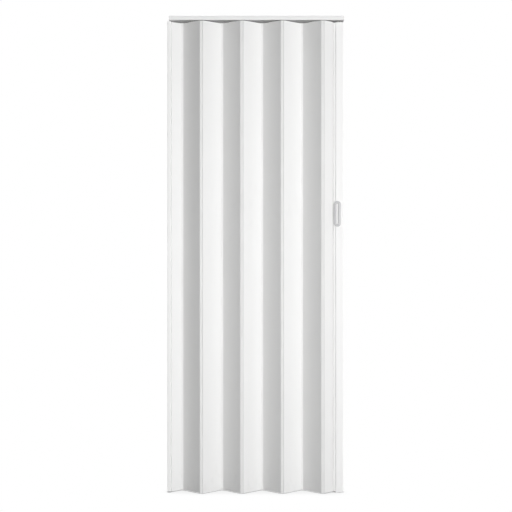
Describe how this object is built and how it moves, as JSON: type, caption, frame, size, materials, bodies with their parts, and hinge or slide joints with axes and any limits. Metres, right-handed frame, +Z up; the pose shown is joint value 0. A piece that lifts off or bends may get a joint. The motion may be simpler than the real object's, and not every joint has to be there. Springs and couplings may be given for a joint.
{
  "type": "accordion door",
  "caption": "Folding accordion door of hollow white slats on hinge strips, hung from an overhead track, with a wall post, a closing lead post and a ring pull.",
  "frame": {"origin": "middle of the overhead track's top face", "axes": "+X from the wall post to the lead post, +Y to the back, +Z up"},
  "size_m": [0.7544, 0.068, 2.032],
  "materials": {
    "white_pvc": "satin white extrusion",
    "flexible_pvc": "soft white",
    "nylon": "moulded",
    "satin_grey": "satin light grey",
    "zinc_steel": "zinc plated",
    "magnet_rubber": "magnetic strip"
  },
  "bodies": {
    "frame": {"top_track": "white_pvc", "track_stop_left": "nylon", "track_stop_right": "nylon", "wall_strip": "white_pvc", "wall_post": "white_pvc", "wall_hinge_strip": "flexible_pvc"},
    "panel_1": {"panel_1": "white_pvc"},
    "hinge_1": {"hinge_1": "flexible_pvc"},
    "panel_2": {"panel_2": "white_pvc", "glide_2": "nylon"},
    "hinge_2": {"hinge_2": "flexible_pvc"},
    "panel_3": {"panel_3": "white_pvc"},
    "hinge_3": {"hinge_3": "flexible_pvc"},
    "panel_4": {"panel_4": "white_pvc", "glide_4": "nylon"},
    "hinge_4": {"hinge_4": "flexible_pvc"},
    "panel_5": {"panel_5": "white_pvc"},
    "hinge_5": {"hinge_5": "flexible_pvc"},
    "panel_6": {"panel_6": "white_pvc", "glide_6": "nylon"},
    "hinge_6": {"hinge_6": "flexible_pvc"},
    "panel_7": {"panel_7": "white_pvc"},
    "hinge_7": {"hinge_7": "flexible_pvc"},
    "panel_8": {"panel_8": "white_pvc", "glide_8": "nylon"},
    "hinge_8": {"hinge_8": "flexible_pvc"},
    "panel_9": {"panel_9": "white_pvc"},
    "lead_post": {"lead_post": "white_pvc", "lead_hinge_strip": "flexible_pvc", "lead_post_top_cap": "white_pvc", "lead_post_bottom_cap": "white_pvc", "lead_glide_inner": "nylon", "lead_glide_outer": "nylon", "handle_front": "satin_grey", "handle_back": "satin_grey", "handle_screw_lower": "zinc_steel", "handle_screw_upper": "zinc_steel", "magnet_strip": "magnet_rubber"}
  },
  "joints": [
    {"name": "fold", "type": "hinge", "parent": "frame", "child": "panel_1", "pos_m": [-0.36304, 0, -1], "axis": [0, 0, 1], "range_deg": [0, 46]},
    {"name": "hinge_1_pivot", "type": "hinge", "parent": "panel_1", "child": "hinge_1", "pos_m": [-0.32601, 0.02894, -1], "axis": [0, 0, 1], "range_deg": [-46, 0]},
    {"name": "panel_2_pivot", "type": "hinge", "parent": "hinge_1", "child": "panel_2", "pos_m": [-0.31401, 0.02894, -1], "axis": [0, 0, 1], "range_deg": [-46, 0]},
    {"name": "hinge_2_pivot", "type": "hinge", "parent": "panel_2", "child": "hinge_2", "pos_m": [-0.23993, -0.02894, -1], "axis": [0, 0, 1], "range_deg": [0, 46]},
    {"name": "panel_3_pivot", "type": "hinge", "parent": "hinge_2", "child": "panel_3", "pos_m": [-0.22793, -0.02894, -1], "axis": [0, 0, 1], "range_deg": [0, 46]},
    {"name": "hinge_3_pivot", "type": "hinge", "parent": "panel_3", "child": "hinge_3", "pos_m": [-0.15386, 0.02894, -1], "axis": [0, 0, 1], "range_deg": [-46, 0]},
    {"name": "panel_4_pivot", "type": "hinge", "parent": "hinge_3", "child": "panel_4", "pos_m": [-0.14186, 0.02894, -1], "axis": [0, 0, 1], "range_deg": [-46, 0]},
    {"name": "hinge_4_pivot", "type": "hinge", "parent": "panel_4", "child": "hinge_4", "pos_m": [-0.06779, -0.02894, -1], "axis": [0, 0, 1], "range_deg": [0, 46]},
    {"name": "panel_5_pivot", "type": "hinge", "parent": "hinge_4", "child": "panel_5", "pos_m": [-0.05579, -0.02894, -1], "axis": [0, 0, 1], "range_deg": [0, 46]},
    {"name": "hinge_5_pivot", "type": "hinge", "parent": "panel_5", "child": "hinge_5", "pos_m": [0.01829, 0.02894, -1], "axis": [0, 0, 1], "range_deg": [-46, 0]},
    {"name": "panel_6_pivot", "type": "hinge", "parent": "hinge_5", "child": "panel_6", "pos_m": [0.03029, 0.02894, -1], "axis": [0, 0, 1], "range_deg": [-46, 0]},
    {"name": "hinge_6_pivot", "type": "hinge", "parent": "panel_6", "child": "hinge_6", "pos_m": [0.10436, -0.02894, -1], "axis": [0, 0, 1], "range_deg": [0, 46]},
    {"name": "panel_7_pivot", "type": "hinge", "parent": "hinge_6", "child": "panel_7", "pos_m": [0.11636, -0.02894, -1], "axis": [0, 0, 1], "range_deg": [0, 46]},
    {"name": "hinge_7_pivot", "type": "hinge", "parent": "panel_7", "child": "hinge_7", "pos_m": [0.19043, 0.02894, -1], "axis": [0, 0, 1], "range_deg": [-46, 0]},
    {"name": "panel_8_pivot", "type": "hinge", "parent": "hinge_7", "child": "panel_8", "pos_m": [0.20243, 0.02894, -1], "axis": [0, 0, 1], "range_deg": [-46, 0]},
    {"name": "hinge_8_pivot", "type": "hinge", "parent": "panel_8", "child": "hinge_8", "pos_m": [0.27651, -0.02894, -1], "axis": [0, 0, 1], "range_deg": [0, 46]},
    {"name": "panel_9_pivot", "type": "hinge", "parent": "hinge_8", "child": "panel_9", "pos_m": [0.28851, -0.02894, -1], "axis": [0, 0, 1], "range_deg": [0, 46]},
    {"name": "lead_post_pivot", "type": "hinge", "parent": "panel_9", "child": "lead_post", "pos_m": [0.32554, 0, -1], "axis": [0, 0, 1], "range_deg": [-46, 0]}
  ],
  "couplings": [
    {"joint": "hinge_1_pivot", "follows": "fold", "ratio": -1},
    {"joint": "panel_2_pivot", "follows": "fold", "ratio": -1},
    {"joint": "hinge_2_pivot", "follows": "fold", "ratio": 1},
    {"joint": "panel_3_pivot", "follows": "fold", "ratio": 1},
    {"joint": "hinge_3_pivot", "follows": "fold", "ratio": -1},
    {"joint": "panel_4_pivot", "follows": "fold", "ratio": -1},
    {"joint": "hinge_4_pivot", "follows": "fold", "ratio": 1},
    {"joint": "panel_5_pivot", "follows": "fold", "ratio": 1},
    {"joint": "hinge_5_pivot", "follows": "fold", "ratio": -1},
    {"joint": "panel_6_pivot", "follows": "fold", "ratio": -1},
    {"joint": "hinge_6_pivot", "follows": "fold", "ratio": 1},
    {"joint": "panel_7_pivot", "follows": "fold", "ratio": 1},
    {"joint": "hinge_7_pivot", "follows": "fold", "ratio": -1},
    {"joint": "panel_8_pivot", "follows": "fold", "ratio": -1},
    {"joint": "hinge_8_pivot", "follows": "fold", "ratio": 1},
    {"joint": "panel_9_pivot", "follows": "fold", "ratio": 1},
    {"joint": "lead_post_pivot", "follows": "fold", "ratio": -1}
  ]
}
